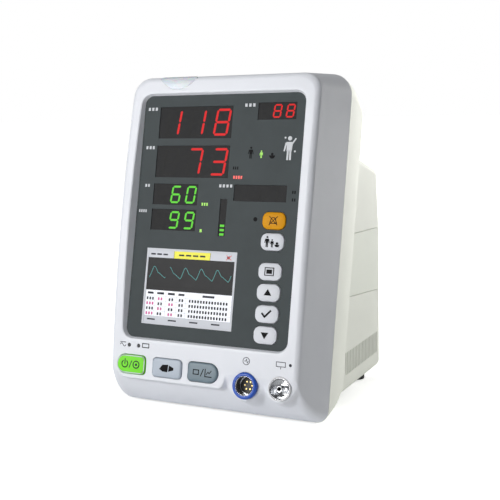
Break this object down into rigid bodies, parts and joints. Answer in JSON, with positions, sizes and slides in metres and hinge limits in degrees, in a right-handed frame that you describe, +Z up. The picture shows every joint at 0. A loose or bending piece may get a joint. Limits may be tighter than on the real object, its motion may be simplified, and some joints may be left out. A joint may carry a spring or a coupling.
{
  "type": "patient monitor",
  "caption": "Compact leaning vital-signs monitor with segment displays, a small colour screen, rubber keys and front connectors for a finger sensor and a cuff hose.",
  "frame": {"origin": "centre of the footprint of the whole case, on the surface it stands on", "axes": "+Z up, the display faces -Y, +X to the right seen from the front"},
  "size_m": [0.175, 0.1697, 0.253],
  "materials": {
    "case_front": "fine satin moulded",
    "case_rear": "fine satin moulded",
    "panel_print": "satin printed sheet",
    "display_black": "gloss",
    "lcd_face": "gloss",
    "key_grey": "silicone",
    "key_orange": "silicone",
    "key_lime": "satin",
    "key_pale": "satin",
    "key_slate": "satin",
    "lens": "translucent",
    "lamp": "clear",
    "blue_plastic": "satin",
    "socket_grey": "moulded",
    "white_plastic": "satin",
    "steel": "plated",
    "nickel": "turned",
    "brass": "turned",
    "board": "circuit board",
    "black_plastic": "moulded",
    "battery_wrap": "wrapped",
    "foot_rubber": "moulded",
    "hose": "silicone"
  },
  "bodies": {
    "case": {"front_bezel": "case_front", "rear_housing": "case_rear", "recorder_bay_cover": "case_rear", "door_hinge_pin": "steel", "battery_pack": "battery_wrap", "battery_tray": "white_plastic", "front_panel": "panel_print", "sys_display": "display_black", "dia_display": "display_black", "map_display": "display_black", "pr_display": "display_black", "spo2_display": "display_black", "temp_display": "display_black", "pulse_bargraph": "display_black", "icon_lamps": "lamp", "lcd_module": "lcd_face", "display_board": "board", "key_switches": "black_plastic", "key_board": "board", "supply_lamps": "lamp", "alarm_lens": "lens", "alarm_lamp_board": "board", "spo2_flange": "blue_plastic", "spo2_shell": "steel", "spo2_insert": "socket_grey", "spo2_contacts": "brass", "socket_nuts": "steel", "nibp_rim": "white_plastic", "nibp_cup": "nickel", "nibp_nipple": "nickel", "chassis_plate": "steel", "main_board": "board", "spo2_board": "board", "power_supply": "board", "pump_motor": "steel", "pump_head": "black_plastic", "valve_block": "white_plastic", "air_hoses": "hose", "speaker": "black_plastic", "ac_inlet": "black_plastic", "equipotential_stud": "brass", "network_socket": "steel", "rubber_feet": "foot_rubber", "mount_inserts": "brass", "case_screws": "steel", "board_screws": "steel"},
    "door": {"battery_door": "case_rear"},
    "key_alarm_silence_cap": {"key_alarm_silence": "key_orange"},
    "key_patient_cap": {"key_patient": "key_grey"},
    "key_menu_cap": {"key_menu": "key_grey"},
    "key_up_cap": {"key_up": "key_grey"},
    "key_confirm_cap": {"key_confirm": "key_grey"},
    "key_down_cap": {"key_down": "key_grey"},
    "key_power_cap": {"key_power": "key_lime"},
    "key_nibp_cap": {"key_nibp": "key_pale"},
    "key_trend_cap": {"key_trend": "key_slate"},
    "rotor": {"pump_rotor": "brass"},
    "dump_plunger": {"dump_valve_plunger": "steel"},
    "bleed_plunger": {"bleed_valve_plunger": "steel"},
    "drawer": {"fuse_drawer": "black_plastic"}
  },
  "joints": [
    {"name": "key_alarm_silence_press", "type": "slide", "parent": "case", "child": "key_alarm_silence_cap", "axis": [0, 0.9732, -0.23], "range_m": [0, 0.0012], "stiffness_N_per_m": 1500, "springref_m": -0.0004},
    {"name": "key_patient_press", "type": "slide", "parent": "case", "child": "key_patient_cap", "axis": [0, 0.9732, -0.23], "range_m": [0, 0.0012], "stiffness_N_per_m": 1500, "springref_m": -0.0004},
    {"name": "key_menu_press", "type": "slide", "parent": "case", "child": "key_menu_cap", "axis": [0, 0.9732, -0.23], "range_m": [0, 0.0012], "stiffness_N_per_m": 1500, "springref_m": -0.0004},
    {"name": "key_up_press", "type": "slide", "parent": "case", "child": "key_up_cap", "axis": [0, 0.9732, -0.23], "range_m": [0, 0.0012], "stiffness_N_per_m": 1500, "springref_m": -0.0004},
    {"name": "key_confirm_press", "type": "slide", "parent": "case", "child": "key_confirm_cap", "axis": [0, 0.9732, -0.23], "range_m": [0, 0.0012], "stiffness_N_per_m": 1500, "springref_m": -0.0004},
    {"name": "key_down_press", "type": "slide", "parent": "case", "child": "key_down_cap", "axis": [0, 0.9732, -0.23], "range_m": [0, 0.0012], "stiffness_N_per_m": 1500, "springref_m": -0.0004},
    {"name": "key_power_press", "type": "slide", "parent": "case", "child": "key_power_cap", "axis": [0, 0.9732, -0.23], "range_m": [0, 0.0008], "stiffness_N_per_m": 1500, "springref_m": -0.0004},
    {"name": "key_nibp_press", "type": "slide", "parent": "case", "child": "key_nibp_cap", "axis": [0, 0.9732, -0.23], "range_m": [0, 0.0008], "stiffness_N_per_m": 1500, "springref_m": -0.0004},
    {"name": "key_trend_press", "type": "slide", "parent": "case", "child": "key_trend_cap", "axis": [0, 0.9732, -0.23], "range_m": [0, 0.0008], "stiffness_N_per_m": 1500, "springref_m": -0.0004},
    {"name": "battery_door_hinge", "type": "hinge", "parent": "case", "child": "door", "pos_m": [-0.0811, 0.0449, 0.0724], "axis": [0, -1, 0], "range_deg": [0, 100]},
    {"name": "pump_rotor_spin", "type": "hinge", "parent": "case", "child": "rotor", "pos_m": [0.046, 0.0179, 0.036], "axis": [0, 1, 0], "continuous": true},
    {"name": "dump_valve_stroke", "type": "slide", "parent": "case", "child": "dump_plunger", "axis": [0, 0, -1], "range_m": [0, 0.0012], "stiffness_N_per_m": 800, "springref_m": -0.0004},
    {"name": "bleed_valve_stroke", "type": "slide", "parent": "case", "child": "bleed_plunger", "axis": [0, 0, -1], "range_m": [0, 0.0012], "stiffness_N_per_m": 800, "springref_m": -0.0004},
    {"name": "fuse_drawer_pull", "type": "slide", "parent": "case", "child": "drawer", "axis": [0, 1, 0], "range_m": [0, 0.016]}
  ]
}
